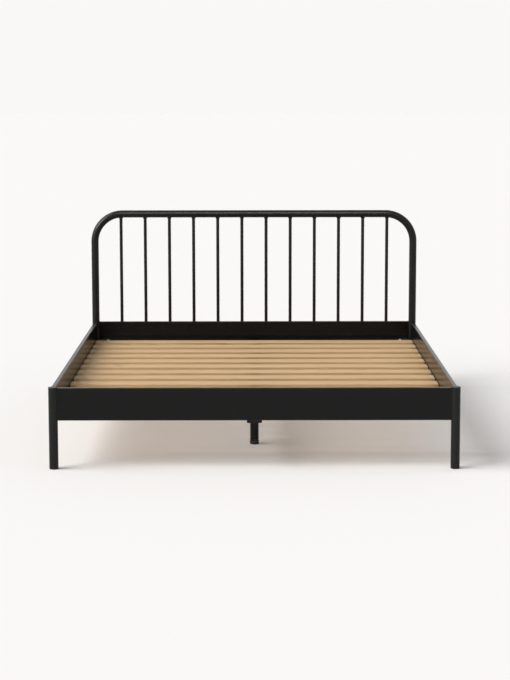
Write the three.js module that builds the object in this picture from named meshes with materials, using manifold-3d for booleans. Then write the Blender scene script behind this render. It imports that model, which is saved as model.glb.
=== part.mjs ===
// Metal bed frame for one double mattress: a bent-tube headboard with upright spindles, a low
// foot end of two round posts and a flat panel, two side rails, a centre beam on two screw-foot
// legs, and a wooden slatted base.
//
// Frame: the origin is on the floor under the middle of the bed, +X points to the right seen
// from the foot end, +Y points to the headboard and +Z points up. All sizes are millimetres.

import * as THREE from "three";
import { mergeVertices } from "three/addons/utils/BufferGeometryUtils.js";
import Module from "manifold-3d";

const wasm = await Module();
wasm.setup();

// ---------------------------------------------------------------- driving dimensions

// Mattress, and the room the frame leaves on each side of it
const mattressWidth = 1800;
const mattressLength = 2000;
const mattressRoom = 5;

// Round tube of the hoop, the foot posts and the centre legs
const tubeDiameter = 42;
const tubeWall = 1.5;

// Flat rectangular tube of the side rails, the foot panel and the head panel
const railHeight = 150;
const railThickness = 20;
const railWall = 1.5;
const railCornerRadius = 3;
const railUnderside = 225;
const railEndGap = 1;

// Headboard
const headboardHeight = 1020;
const bendRadius = 160;
const spindleCount = 12;
const spindleDiameter = 18;
const spindleWall = 1.2;
const spindleInsert = 4;

// Plastic glides in the tube ends on the floor, and caps in the tops of the foot posts
const postRise = 1;
const capThickness = 2;
const capPlug = 12;
const glideThickness = 5;
const glidePlug = 16;
const glideEdge = 2;

// Angle ledges that carry the slat ends
const ledgeAboveUnderside = 37;
const ledgeWidth = 30;
const ledgeWall = 2.5;
const ledgeEndRoom = 5;

// Slats
const slatCount = 12;
const slatWidth = 90;
const slatThickness = 18;
const slatEndRoom = 3;
const slatFirstRoom = 7;

// Folded corner brackets, on each side rail's ends, and their bolts
const bracketPlate = 3;
const bracketFlange = 45;
const bracketReach = 48;
const bracketHeight = 48;
const bracketAboveUnderside = 4;
const boltDiameter = 8;
const boltLength = 16;
const boltHeadDiameter = 14;
const boltHeadHeight = 4.4;
const boltSocket = 5;
const boltSocketDepth = 2.6;
const boltSpacing = 24;
const insertDiameter = 12;
const insertLength = 8;

// Centre beam and the saddles that hold its ends
const beamWidth = 60;
const beamHeight = 50;
const beamWall = 2;
const beamCornerRadius = 4;
const beamEndRoom = 2;
const saddlePlate = 3;
const saddleSideRoom = 2;
const saddleDepth = 50;
const saddleCheek = 32;
const saddleCornerRadius = 7;

// Centre legs
const legPlateLength = 100;
const legPlateThickness = 3;
const legPlugLength = 20;
const legPlugRecess = 6;

// Levelling feet of the centre legs
const padDiameter = 44;
const padHeight = 19;
const padEdge = 2;
const padGap = 4;
const studDiameter = 10;
const studLength = 59;
const studHeadDiameter = 16;
const studHeadHeight = 4;
const studFloor = 6;
const collarAcrossFlats = 17;
const collarHeight = 5;

// Clearance between neighbours, and the wider one around what turns
const fitGap = 0.3;
const turningGap = 0.5;

// Sides of the polygons that stand for circles
const tubeSides = 20;
const rodSides = 12;
const bendSteps = 10;
const cornerSteps = 2;

// ---------------------------------------------------------------- derived places

const tubeRadius = tubeDiameter / 2;
const tubeBore = tubeRadius - tubeWall;
const postX = mattressWidth / 2 + mattressRoom + railThickness / 2;
const postY = mattressLength / 2 + mattressRoom + railThickness / 2;
const railFaceX = postX - railThickness / 2;
const railFaceY = postY - railThickness / 2;
const railTop = railUnderside + railHeight;
const railMiddle = railUnderside + railHeight / 2;
const postTop = railTop + postRise;
const hoopLevel = headboardHeight - tubeRadius;
const tubeFoot = glideThickness + fitGap;

const spindleRadius = spindleDiameter / 2;
const spindlePitch = (2 * (postX - tubeRadius) + spindleDiameter) / (spindleCount + 1);
const spindleTop = hoopLevel - tubeBore + spindleInsert;
const spindleBottom = railTop + fitGap;

const ledgeTop = railUnderside + ledgeAboveUnderside;
const bracketBottom = railUnderside + bracketAboveUnderside;
const bracketMiddle = bracketBottom + bracketHeight / 2;
const bracketEnd = bracketReach + bracketFlange;
const ledgeEndY = postY - bracketEnd - ledgeEndRoom;
const boltInset = bracketReach + bracketFlange / 2;
const boltHeights = [bracketMiddle - boltSpacing / 2, bracketMiddle + boltSpacing / 2];

const slatBottom = ledgeTop + fitGap;
const slatEndX = railFaceX - slatEndRoom;
const slatLastY = postY - bracketEnd - slatFirstRoom - slatWidth / 2;
const slatPitch = (2 * slatLastY) / (slatCount - 1);

const beamUnderside = ledgeTop - beamHeight;
const beamEndY = railFaceY - fitGap - saddlePlate - beamEndRoom;
const legTop = beamUnderside - fitGap;
const legY = postY / 2;
const legFoot = padHeight + padGap;
const legPlugBottom = legFoot + legPlugRecess;

// ---------------------------------------------------------------- materials

const powderCoat = new THREE.MeshStandardMaterial({ color: 0x1c1b1a, roughness: 0.55, metalness: 0.2 });
const capPlastic = new THREE.MeshStandardMaterial({ color: 0x1a1a1a, roughness: 0.6, metalness: 0 });
const glidePlastic = new THREE.MeshStandardMaterial({ color: 0x141414, roughness: 0.7, metalness: 0 });
const zincSteel = new THREE.MeshStandardMaterial({ color: 0xa9a9a4, roughness: 0.4, metalness: 1 });
const slatWood = new THREE.MeshStandardMaterial({ color: 0xcfae80, roughness: 0.75, metalness: 0 });

// ---------------------------------------------------------------- solids

/** Turns a closed three.js geometry into a solid that can be joined and cut. */
function toSolid(geometry) {
  const bare = geometry.clone();
  bare.deleteAttribute("normal");
  bare.deleteAttribute("uv");
  const merged = mergeVertices(bare, 1e-3);
  const corners = merged.index.array;
  const triangles = [];
  for (let i = 0; i < corners.length; i += 3) {
    const [a, b, c] = corners.slice(i, i + 3);
    if (a !== b && b !== c && c !== a) {
      triangles.push(a, b, c);
    }
  }
  const mesh = new wasm.Mesh({
    numProp: 3,
    vertProperties: merged.attributes.position.array,
    triVerts: Uint32Array.from(triangles),
  });
  return new wasm.Manifold(mesh);
}

/** Turns a joined or cut solid back into a three.js geometry. */
function toGeometry(solid) {
  const { vertProperties, triVerts } = solid.getMesh();
  const geometry = new THREE.BufferGeometry();
  geometry.setAttribute("position", new THREE.BufferAttribute(vertProperties, 3));
  geometry.setIndex(new THREE.BufferAttribute(triVerts, 1));
  geometry.computeVertexNormals();
  return geometry;
}

/** One geometry: the first one, with the others of the two lists joined to it and cut out of it. */
function combine(base, joined, cut) {
  let solid = toSolid(base);
  for (const geometry of joined) {
    solid = solid.add(toSolid(geometry));
  }
  for (const geometry of cut) {
    solid = solid.subtract(toSolid(geometry));
  }
  return toGeometry(solid);
}

function piece(name, geometry, material) {
  const mesh = new THREE.Mesh(geometry, material);
  mesh.name = name;
  return mesh;
}

/** An upright rod centred on the Z axis, from the lower to the upper height. */
function rod(radius, low, high, sides) {
  const geometry = new THREE.CylinderGeometry(radius, radius, high - low, sides);
  geometry.rotateX(Math.PI / 2);
  geometry.translate(0, 0, (low + high) / 2);
  return geometry;
}

/** A cylinder that clears a faceted round tube by the given gap on every facet. */
function clearanceRod(radius, gap, low, high, sides) {
  return rod((radius + gap) / Math.cos(Math.PI / sides), low, high, sides);
}

function ringShape(outerRadius, innerRadius) {
  const shape = new THREE.Shape();
  shape.absarc(0, 0, outerRadius, 0, 2 * Math.PI);
  const bore = new THREE.Path();
  bore.absarc(0, 0, innerRadius, 0, 2 * Math.PI);
  shape.holes.push(bore);
  return shape;
}

/** An upright open tube on the Z axis. */
function tube(outerRadius, wall, low, high, sides) {
  const options = { depth: high - low, curveSegments: sides / 2, bevelEnabled: false };
  const geometry = new THREE.ExtrudeGeometry(ringShape(outerRadius, outerRadius - wall), options);
  geometry.translate(0, 0, low);
  return geometry;
}

/** A body of revolution about the Z axis, from [radius, height] corners in order up the outside. */
function turned(corners, sides) {
  const profile = corners.map(([radius, height]) => new THREE.Vector2(radius, height));
  const geometry = new THREE.LatheGeometry(profile, sides);
  geometry.rotateX(Math.PI / 2);
  return geometry;
}

function box(x, y, z) {
  const geometry = new THREE.BoxGeometry(x[1] - x[0], y[1] - y[0], z[1] - z[0]);
  geometry.translate((x[0] + x[1]) / 2, (y[0] + y[1]) / 2, (z[0] + z[1]) / 2);
  return geometry;
}

/** Adds a rectangle with round corners, centred on the origin, to a shape or a hole. */
function roundedRectangle(path, width, height, radius) {
  const x = width / 2 - radius;
  const y = height / 2 - radius;
  path.absarc(x, y, radius, 0, Math.PI / 2);
  path.absarc(-x, y, radius, Math.PI / 2, Math.PI);
  path.absarc(-x, -y, radius, Math.PI, 1.5 * Math.PI);
  path.absarc(x, -y, radius, 1.5 * Math.PI, 2 * Math.PI);
  path.closePath();
  return path;
}

/** A rectangular tube along the X axis, centred on the origin, with its height along Z. */
function rectangularTube(length, thickness, height, wall, cornerRadius) {
  const shape = roundedRectangle(new THREE.Shape(), thickness, height, cornerRadius);
  const bore = new THREE.Path();
  roundedRectangle(bore, thickness - 2 * wall, height - 2 * wall, Math.max(cornerRadius - wall, wall / 2));
  shape.holes.push(bore);
  const options = { depth: length, curveSegments: cornerSteps, bevelEnabled: false };
  const geometry = new THREE.ExtrudeGeometry(shape, options);
  geometry.translate(0, 0, -length / 2);
  geometry.rotateX(Math.PI / 2);
  geometry.rotateZ(Math.PI / 2);
  return geometry;
}

// ---------------------------------------------------------------- headboard

/** The hoop's centre line: up one leg, round a bend, across, round a bend and down. */
class HoopPath extends THREE.Curve {
  constructor() {
    super();
    const across = postX - bendRadius;
    const up = hoopLevel - bendRadius;
    this.stations = [{ point: [-postX, tubeFoot], heading: Math.PI / 2 }];
    for (const side of [-1, 1]) {
      for (let step = 0; step <= bendSteps; step += 1) {
        const turn = ((side < 0 ? Math.PI : Math.PI / 2) - (step / bendSteps) * (Math.PI / 2));
        this.stations.push({
          point: [side * across + bendRadius * Math.cos(turn), up + bendRadius * Math.sin(turn)],
          heading: turn - Math.PI / 2,
        });
      }
    }
    this.stations.push({ point: [postX, tubeFoot], heading: -Math.PI / 2 });
  }

  get steps() {
    return this.stations.length - 1;
  }

  getPointAt(u, target = new THREE.Vector3()) {
    const { point } = this.stations[Math.round(u * this.steps)];
    return target.set(point[0], postY, point[1]);
  }

  getTangentAt(u, target = new THREE.Vector3()) {
    const { heading } = this.stations[Math.round(u * this.steps)];
    return target.set(Math.cos(heading), 0, Math.sin(heading));
  }
}

function spindleX(index) {
  return (index - (spindleCount - 1) / 2) * spindlePitch;
}

/** Turns a spindle or its hole flat side on to the bed, and moves it to its place. */
function placeSpindle(geometry, index) {
  geometry.rotateZ(Math.PI / rodSides);
  return geometry.translate(spindleX(index), postY, 0);
}

/** Rods that cut the spindles' seats out of the hoop's lower wall. */
function spindleSeats() {
  const low = hoopLevel - 2 * tubeRadius;
  return range(spindleCount, (index) => {
    return placeSpindle(clearanceRod(spindleRadius, fitGap, low, hoopLevel, rodSides), index);
  });
}

function headboardHoop() {
  const path = new HoopPath();
  const options = { steps: path.steps, curveSegments: tubeSides / 2, extrudePath: path, bevelEnabled: false };
  const sweep = new THREE.ExtrudeGeometry(ringShape(tubeRadius, tubeBore), options);
  return piece("headboard_hoop", combine(sweep, [], spindleSeats()), powderCoat);
}

function spindle(index) {
  const geometry = tube(spindleRadius, spindleWall, spindleBottom, spindleTop, rodSides);
  return piece(`spindle_${twoDigits(index + 1)}`, placeSpindle(geometry, index), powderCoat);
}

function twoDigits(number) {
  return String(number).padStart(2, "0");
}

// ---------------------------------------------------------------- panels and rails

/** Places of the two bolts of each corner, measured from the middle of a panel. */
function boltPlaces() {
  const places = [];
  for (const side of [-1, 1]) {
    for (const height of boltHeights) {
      places.push({ x: side * (postX - boltInset), z: height });
    }
  }
  return places;
}

/** A rod along Y at one bolt, from the bed side (positive) of the panel's middle plane. */
function boltRod(radius, near, far, place, sides) {
  const geometry = rod(radius, near, far, sides);
  geometry.rotateX(-Math.PI / 2);
  geometry.translate(place.x, 0, place.z);
  return geometry;
}

/**
 * A cross panel between two round tubes, with saddle-cut ends and the threaded inserts of its
 * bolts on the inner wall. It is made with its bed side towards +Y, then turned and placed.
 */
function crossPanel(name, y) {
  const inner = railThickness / 2;
  const clear = boltDiameter / 2 + fitGap;
  const body = rectangularTube(2 * postX, railThickness, railHeight, railWall, railCornerRadius);
  body.translate(0, 0, railMiddle);
  const inserts = [];
  const holes = [];
  for (const place of boltPlaces()) {
    inserts.push(boltRod(insertDiameter / 2, inner - insertLength, inner - railWall / 2, place, rodSides));
    holes.push(boltRod(clear / Math.cos(Math.PI / rodSides), -inner + 2 * railWall, 2 * inner, place, rodSides));
  }
  for (const side of [-1, 1]) {
    const saddle = clearanceRod(tubeRadius, fitGap, 0, headboardHeight, tubeSides);
    saddle.translate(side * postX, 0, 0);
    holes.push(saddle);
  }
  const panel = combine(body, inserts, holes);
  if (y > 0) {
    panel.rotateZ(Math.PI);
  }
  panel.translate(0, y, 0);
  return piece(name, panel, powderCoat);
}

function sideRail(name, x) {
  const body = rectangularTube(2 * postY, railThickness, railHeight, railWall, railCornerRadius);
  body.rotateZ(Math.PI / 2);
  body.translate(x, 0, railMiddle);
  const saddles = [-postY, postY].map((y) => {
    const saddle = clearanceRod(tubeRadius, railEndGap, 0, headboardHeight, tubeSides);
    return saddle.translate(x, y, 0);
  });
  return piece(name, combine(body, [], saddles), powderCoat);
}

/** An angle along a side rail: its top flange carries the slats, its other flange is on the rail. */
function slatLedge(name, side) {
  const face = railFaceX - fitGap;
  const shape = new THREE.Shape();
  shape.moveTo(face, ledgeTop);
  shape.lineTo(face - ledgeWidth, ledgeTop);
  shape.lineTo(face - ledgeWidth, ledgeTop - ledgeWall);
  shape.lineTo(face - ledgeWall, ledgeTop - ledgeWall);
  shape.lineTo(face - ledgeWall, ledgeTop - ledgeWidth);
  shape.lineTo(face, ledgeTop - ledgeWidth);
  shape.closePath();
  const geometry = new THREE.ExtrudeGeometry(shape, { depth: 2 * ledgeEndY, bevelEnabled: false });
  geometry.translate(0, 0, -ledgeEndY);
  geometry.rotateX(Math.PI / 2);
  if (side < 0) {
    geometry.rotateZ(Math.PI);
  }
  return piece(name, geometry, powderCoat);
}

// ---------------------------------------------------------------- foot end

function footPost(name, x) {
  const geometry = tube(tubeRadius, tubeWall, tubeFoot, postTop, tubeSides);
  geometry.translate(x, -postY, 0);
  return piece(name, geometry, powderCoat);
}

function postCap(name, x) {
  const low = postTop + fitGap;
  const plug = tubeBore - fitGap;
  const geometry = turned([
    [0, low - capPlug],
    [plug, low - capPlug],
    [plug, low],
    [tubeRadius, low],
    [tubeRadius, low + capThickness],
    [0, low + capThickness],
  ], tubeSides);
  geometry.translate(x, -postY, 0);
  return piece(name, geometry, capPlastic);
}

/** A glide pushed into the floor end of a round tube, with a slightly rounded floor edge. */
function glide(name, x, y) {
  const plug = tubeBore - fitGap;
  const geometry = turned([
    [0, 0],
    [tubeRadius - glideEdge, 0],
    [tubeRadius, glideEdge],
    [tubeRadius, glideThickness],
    [plug, glideThickness],
    [plug, glideThickness + glidePlug],
    [0, glideThickness + glidePlug],
  ], tubeSides);
  geometry.translate(x, y, 0);
  return piece(name, geometry, glidePlastic);
}

// ---------------------------------------------------------------- corner joints

/**
 * A plate folded twice, so that it passes the round post at the corner: one flange lies on the
 * cross panel, the other on the side rail. Made for the corner at -X, -Y and mirrored by turning.
 */
function cornerBracket(name, sideX, sideY) {
  const face = railThickness / 2 + fitGap;
  const inner = face + bracketPlate;
  const fold = bracketReach + bracketPlate * Math.tan(Math.PI / 8);
  const outline = [
    [face, bracketEnd], [face, bracketReach], [bracketReach, face], [bracketEnd, face],
    [bracketEnd, inner], [fold, inner], [inner, fold], [inner, bracketEnd],
  ];
  const shape = new THREE.Shape(outline.map(([u, v]) => new THREE.Vector2(u, v)));
  const plate = new THREE.ExtrudeGeometry(shape, { depth: bracketHeight, bevelEnabled: false });
  plate.translate(0, 0, bracketBottom);
  const holes = boltHeights.map((z) => {
    const place = { x: boltInset, z };
    return boltRod((boltDiameter / 2 + turningGap) / Math.cos(Math.PI / rodSides), 0, 2 * inner, place, rodSides);
  });
  const geometry = combine(plate, [], holes);
  return piece(name, toCorner(geometry, sideX, sideY), powderCoat);
}

/** Moves what is made for a corner at the origin, reaching to +X and +Y, to one corner of the bed. */
function toCorner(geometry, sideX, sideY) {
  if (sideX * sideY < 0) {
    geometry.scale(-1, 1, 1);
    flipTriangles(geometry);
  }
  if (sideY > 0) {
    geometry.rotateZ(Math.PI);
  }
  geometry.translate(sideX * postX, sideY * postY, 0);
  return geometry;
}

function flipTriangles(geometry) {
  const corners = geometry.index.array;
  for (let i = 0; i < corners.length; i += 3) {
    [corners[i], corners[i + 1]] = [corners[i + 1], corners[i]];
  }
  geometry.computeVertexNormals();
}

/** A button-head bolt with a hexagon socket, from the bed side into the cross panel. */
function cornerBolt(name, sideX, sideY, height) {
  const seat = railThickness / 2 + bracketPlate + 2 * fitGap;
  const place = { x: boltInset, z: height };
  const crown = boltHeadDiameter / 2;
  const head = turned([
    [0, seat],
    [crown, seat],
    [crown, seat + boltHeadHeight / 3],
    [crown * 0.7, seat + boltHeadHeight],
    [0, seat + boltHeadHeight],
  ], rodSides);
  head.rotateX(-Math.PI / 2);
  head.translate(place.x, 0, place.z);
  const shank = boltRod(boltDiameter / 2, seat - boltLength, seat + boltHeadHeight / 2, place, rodSides);
  const socketRadius = boltSocket / Math.sqrt(3);
  const socket = boltRod(socketRadius, seat + boltHeadHeight - boltSocketDepth, seat + 2 * boltHeadHeight, place, 6);
  const geometry = combine(head, [shank], [socket]);
  return piece(name, toCorner(geometry, sideX, sideY), zincSteel);
}

// ---------------------------------------------------------------- centre support

function centreBeam() {
  const geometry = rectangularTube(2 * beamEndY, beamWidth, beamHeight, beamWall, beamCornerRadius);
  geometry.rotateZ(Math.PI / 2);
  geometry.translate(0, 0, ledgeTop - beamHeight / 2);
  return piece("centre_beam", geometry, powderCoat);
}

/** A folded saddle on the bed side of a cross panel, open at the top, that holds one beam end. */
function beamSaddle(name, sideY) {
  const floor = beamUnderside - fitGap;
  const inside = beamWidth / 2 + saddleSideRoom;
  const outside = inside + saddlePlate;
  const top = floor + saddleCheek;
  const innerRadius = Math.max(saddleCornerRadius - saddlePlate, saddlePlate / 2);
  const low = floor - saddlePlate;
  const shape = new THREE.Shape();
  shape.moveTo(-outside, top);
  shape.absarc(-outside + saddleCornerRadius, low + saddleCornerRadius, saddleCornerRadius, Math.PI, 1.5 * Math.PI);
  shape.absarc(outside - saddleCornerRadius, low + saddleCornerRadius, saddleCornerRadius, 1.5 * Math.PI, 2 * Math.PI);
  shape.lineTo(outside, top);
  shape.lineTo(inside, top);
  shape.absarc(inside - innerRadius, floor + innerRadius, innerRadius, 0, -Math.PI / 2, true);
  shape.absarc(-inside + innerRadius, floor + innerRadius, innerRadius, -Math.PI / 2, -Math.PI, true);
  shape.lineTo(-inside, top);
  shape.closePath();
  const face = railFaceY - fitGap;
  const options = { depth: saddleDepth, curveSegments: cornerSteps, bevelEnabled: false };
  const channel = new THREE.ExtrudeGeometry(shape, options);
  channel.rotateX(Math.PI / 2);
  channel.translate(0, face, 0);
  const back = box([-outside, outside], [face - saddlePlate, face], [low + saddleCornerRadius, top]);
  const geometry = combine(channel, [back], []);
  if (sideY < 0) {
    geometry.rotateZ(Math.PI);
  }
  return piece(name, geometry, powderCoat);
}

/** A round leg with a plate under the beam and a bored plug in its floor end. */
function centreLeg(name, y) {
  const bore = (studDiameter / 2 + turningGap) / Math.cos(Math.PI / tubeSides);
  const plateBottom = legTop - legPlateThickness;
  const leg = turned([
    [tubeRadius, legFoot],
    [tubeRadius, plateBottom + legPlateThickness / 2],
    [bore, plateBottom + legPlateThickness / 2],
    [bore, plateBottom],
    [tubeBore, plateBottom],
    [tubeBore, legPlugBottom + legPlugLength],
    [bore, legPlugBottom + legPlugLength],
    [bore, legPlugBottom],
    [tubeBore, legPlugBottom],
    [tubeBore, legFoot],
    [tubeRadius, legFoot],
  ], tubeSides);
  const half = beamWidth / 2;
  const plate = box([-half, half], [-legPlateLength / 2, legPlateLength / 2], [plateBottom, legTop]);
  return piece(name, combine(leg, [plate], []).translate(0, y, 0), powderCoat);
}

/** The moulded base of a levelling foot: its socket holds the stud's head and lets it turn. */
function levellingPad(name, y) {
  const cavity = studHeadDiameter / 2 + turningGap;
  const mouth = studDiameter / 2 + turningGap;
  const cavityTop = studFloor + studHeadHeight + turningGap;
  const geometry = turned([
    [0, 0],
    [padDiameter / 2 - padEdge, 0],
    [padDiameter / 2, padEdge],
    [padDiameter / 2, padHeight - padEdge],
    [padDiameter / 2 - padEdge, padHeight],
    [mouth, padHeight],
    [mouth, cavityTop],
    [cavity, cavityTop],
    [cavity, studFloor - fitGap],
    [0, studFloor - fitGap],
  ], tubeSides);
  geometry.translate(0, y, 0);
  return piece(name, geometry, glidePlastic);
}

/** The threaded stud: a head in the pad's socket, a hexagon collar for a spanner, and a shank. */
function levellingStud(name, y) {
  const head = studHeadDiameter / 2;
  const shank = studDiameter / 2;
  const stud = turned([
    [0, studFloor],
    [head, studFloor],
    [head, studFloor + studHeadHeight],
    [shank, studFloor + studHeadHeight],
    [shank, studFloor + studLength],
    [0, studFloor + studLength],
  ], tubeSides);
  const collarBottom = padHeight + fitGap;
  const collar = rod(collarAcrossFlats / Math.sqrt(3), collarBottom, collarBottom + collarHeight, 6);
  return piece(name, combine(stud, [collar], []).translate(0, y, 0), zincSteel);
}

// ---------------------------------------------------------------- slatted base

function slat(index) {
  const y = -slatLastY + index * slatPitch;
  const span = [y - slatWidth / 2, y + slatWidth / 2];
  const geometry = box([-slatEndX, slatEndX], span, [slatBottom, slatBottom + slatThickness]);
  return piece(`slat_${twoDigits(index + 1)}`, geometry, slatWood);
}

// ---------------------------------------------------------------- assembly

function group(...members) {
  const result = new THREE.Group();
  result.add(...members);
  return result;
}

function range(count, make) {
  return Array.from({ length: count }, (_, index) => make(index));
}

const sides = [{ word: "left", sign: -1 }, { word: "right", sign: 1 }];
const ends = [{ word: "foot", sign: -1 }, { word: "head", sign: 1 }];

const headboard = group(
  headboardHoop(),
  crossPanel("head_panel", postY),
  ...range(spindleCount, spindle),
);

const footboard = group(
  crossPanel("foot_panel", -postY),
  ...sides.map(({ word, sign }) => footPost(`foot_post_${word}`, sign * postX)),
  ...sides.map(({ word, sign }) => postCap(`post_cap_${word}`, sign * postX)),
);

const rails = group(
  ...sides.map(({ word, sign }) => sideRail(`side_rail_${word}`, sign * postX)),
  ...sides.map(({ word, sign }) => slatLedge(`slat_ledge_${word}`, sign)),
);

const corners = new THREE.Group();
for (const end of ends) {
  for (const side of sides) {
    const corner = `${end.word}_${side.word}`;
    corners.add(glide(`glide_${corner}`, side.sign * postX, end.sign * postY));
    corners.add(cornerBracket(`corner_bracket_${corner}`, side.sign, end.sign));
    corners.add(cornerBolt(`corner_bolt_${corner}_lower`, side.sign, end.sign, boltHeights[0]));
    corners.add(cornerBolt(`corner_bolt_${corner}_upper`, side.sign, end.sign, boltHeights[1]));
  }
}

const centreSupport = group(centreBeam());
for (const end of ends) {
  centreSupport.add(beamSaddle(`beam_saddle_${end.word}`, end.sign));
  centreSupport.add(centreLeg(`centre_leg_${end.word}`, end.sign * legY));
  centreSupport.add(levellingPad(`levelling_pad_${end.word}`, end.sign * legY));
  centreSupport.add(levellingStud(`levelling_stud_${end.word}`, end.sign * legY));
}

const slattedBase = group(...range(slatCount, slat));

export default group(headboard, footboard, rails, corners, centreSupport, slattedBase);
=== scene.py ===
"""Metal bed frame: the finished surfaces around its construction model.

A hoop headboard of bent tube with uprights, a low foot end of two posts and a flat panel, side
rails with slat ledges, a centre beam on two screw-foot legs, and a slatted base of pine.

All sizes are metres. +X points to the right seen from the foot end, +Y to the headboard and +Z up.
Places come from the construction model's nodes; what their boxes can't say is named here.
"""

import math

import bmesh
import bpy
from mathutils import Matrix, Vector


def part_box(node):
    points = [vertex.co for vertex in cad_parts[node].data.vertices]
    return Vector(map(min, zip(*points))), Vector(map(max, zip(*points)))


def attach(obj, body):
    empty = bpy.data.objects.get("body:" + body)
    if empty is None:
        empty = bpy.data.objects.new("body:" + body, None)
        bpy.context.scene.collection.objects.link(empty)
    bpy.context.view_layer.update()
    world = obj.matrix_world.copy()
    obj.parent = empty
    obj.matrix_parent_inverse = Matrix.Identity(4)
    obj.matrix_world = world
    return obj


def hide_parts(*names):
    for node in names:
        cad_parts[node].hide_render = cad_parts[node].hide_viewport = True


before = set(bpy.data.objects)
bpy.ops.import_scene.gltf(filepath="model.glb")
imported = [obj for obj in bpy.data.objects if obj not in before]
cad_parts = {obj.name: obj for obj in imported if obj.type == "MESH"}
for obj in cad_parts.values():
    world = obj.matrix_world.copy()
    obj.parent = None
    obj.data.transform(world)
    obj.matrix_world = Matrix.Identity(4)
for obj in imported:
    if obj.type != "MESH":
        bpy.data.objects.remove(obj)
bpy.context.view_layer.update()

MM = 0.001

# -------- sizes

# Round tube and the joints cut against it
TUBE_WALL = 1.5 * MM
TUBE_SIDES = 72
TUBE_EASE = 0.4 * MM
FIT_GAP = 0.3 * MM
RAIL_END_GAP = 1 * MM

# Flat tube of the panels and rails
FLAT_WALL = 1.5 * MM
FLAT_CORNER = 3 * MM
SECTION_STEPS = 8

# Headboard
BEND_RADIUS = 160 * MM
BEND_STEPS = 40
UPRIGHT_RADIUS = 9 * MM
UPRIGHT_WALL = 1.2 * MM
UPRIGHT_SIDES = 40

# Plastic in the tube ends
CAP_CROWN = 0.35 * MM
GLIDE_DISH = 12 * MM
GLIDE_DISH_DEPTH = 0.6 * MM

# Folded steel: plate thickness, fold radius, and the radius of the sheet's own corners
PLATE_EDGE = 0.5 * MM
LEDGE_WALL = 2.5 * MM
LEDGE_CORNER = 3 * MM
BRACKET_PLATE = 3 * MM
BRACKET_REACH = 48 * MM
BRACKET_TOE = BRACKET_REACH + 45 * MM
BRACKET_FOLD = 5 * MM
BRACKET_CORNER = 6 * MM
SADDLE_PLATE = 3 * MM
SADDLE_FOLD = 7 * MM
SADDLE_CORNER = 4 * MM
SADDLE_BACK_CORNER = 1.5 * MM

# Bolts of the corner joints
BOLT_RADIUS = 4 * MM
BOLT_LENGTH = 16 * MM
BOLT_HEAD_RADIUS = 7 * MM
BOLT_HEAD_HEIGHT = 4.4 * MM
BOLT_SOCKET = 5 * MM
BOLT_SOCKET_DEPTH = 2.6 * MM
BOLT_SIDES = 48

# Centre support
BEAM_WALL = 2 * MM
BEAM_CORNER = 4 * MM
LEG_PLATE = 3 * MM
LEG_PLATE_CORNER = 9 * MM
LEG_PLUG_RECESS = 6 * MM
LEG_PLUG_LENGTH = 20 * MM
STUD_RADIUS = 5 * MM
STUD_HEAD_RADIUS = 8 * MM
STUD_HEAD_HEIGHT = 4 * MM
STUD_BEVEL = 0.6 * MM
STUD_FLOOR = 6 * MM
TURNING_GAP = 0.5 * MM
THREAD_PITCH = 1.5 * MM
THREAD_DEPTH = 0.85 * MM
THREAD_STEPS = 8
COLLAR_FLATS = 17 * MM
COLLAR_HEIGHT = 5 * MM
COLLAR_BEVEL = 0.8 * MM
PAD_DISH = 12 * MM
PAD_DISH_DEPTH = 0.8 * MM
PAD_RECESS = 13 * MM
PAD_RECESS_DEPTH = 0.8 * MM
PAD_RIBS = 24
PAD_RIB_DEPTH = 0.9 * MM

# Slats
SLAT_EDGE = 3 * MM
SLAT_EDGE_STEPS = 5
SLAT_SEED = 11

# Slat screws: a pan head with a cross recess
SCREW_HEAD_RADIUS = 4.4 * MM
SCREW_HEAD_HEIGHT = 2.5 * MM
SCREW_CORE = 1.6 * MM
SCREW_LENGTH = 12 * MM
SCREW_POINT = 3 * MM
SCREW_BITE = 0.4 * MM
SCREW_SIDES = 32
CROSS_REACH = 2.3 * MM
CROSS_ARM = 0.55 * MM
CROSS_DEPTH = 1.5 * MM

# Screws of the leg plates and saddles: a hexagon head on a rolled washer
WASHER_SCREW_FLATS = 7 * MM
WASHER_SCREW_HEIGHT = 4.1 * MM
WASHER_SCREW_CORE = 1.9 * MM
WASHER_SCREW_LENGTH = 10 * MM
WASHER_SCREW_POINT = 2 * MM
WASHER_RADIUS = 5.4 * MM
WASHER_THICKNESS = 0.9 * MM
HEXAGON_SIDES = 36
LEG_SCREW_INSET_X = 10 * MM
LEG_SCREW_INSET_Y = 12 * MM
CHEEK_SCREW_RISE = 4 * MM

# Welds
BEAD_RADIUS = 2.0 * MM
FINE_BEAD_RADIUS = 1.5 * MM
HOOP_BEAD_RADIUS = 3.7 * MM
HOOP_BEAD_DRAW = 0.8
HOOP_BEAD_SLIM = 0.55
BEAD_SIDES = 14
BEAD_RIPPLE = 2.4 * MM
BEAD_STEPS_PER_RIPPLE = 4
BEAD_SCALLOP = 0.16
BEAD_UNEVENNESS = 0.5
BEAD_SWELLING_SCALE = 90.0
BEAD_TAPER = 1.6
BEAD_TIP = 0.03
WELD_PATH_STEPS = 64
BRACKET_WELD_RETURN = 30 * MM
STITCH_LENGTH = 32 * MM
STITCH_PITCH = 225 * MM


# -------- places

def middle(node):
    low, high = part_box(node)
    return (low + high) / 2


def size(node):
    low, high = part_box(node)
    return high - low


def top(node):
    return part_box(node)[1].z


def numbered(stem):
    """The nodes of a repeated sub-part, in order."""
    return sorted(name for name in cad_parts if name.startswith(stem))


SIDES = {"left": -1, "right": 1}
ENDS = {"foot": -1, "head": 1}

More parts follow.
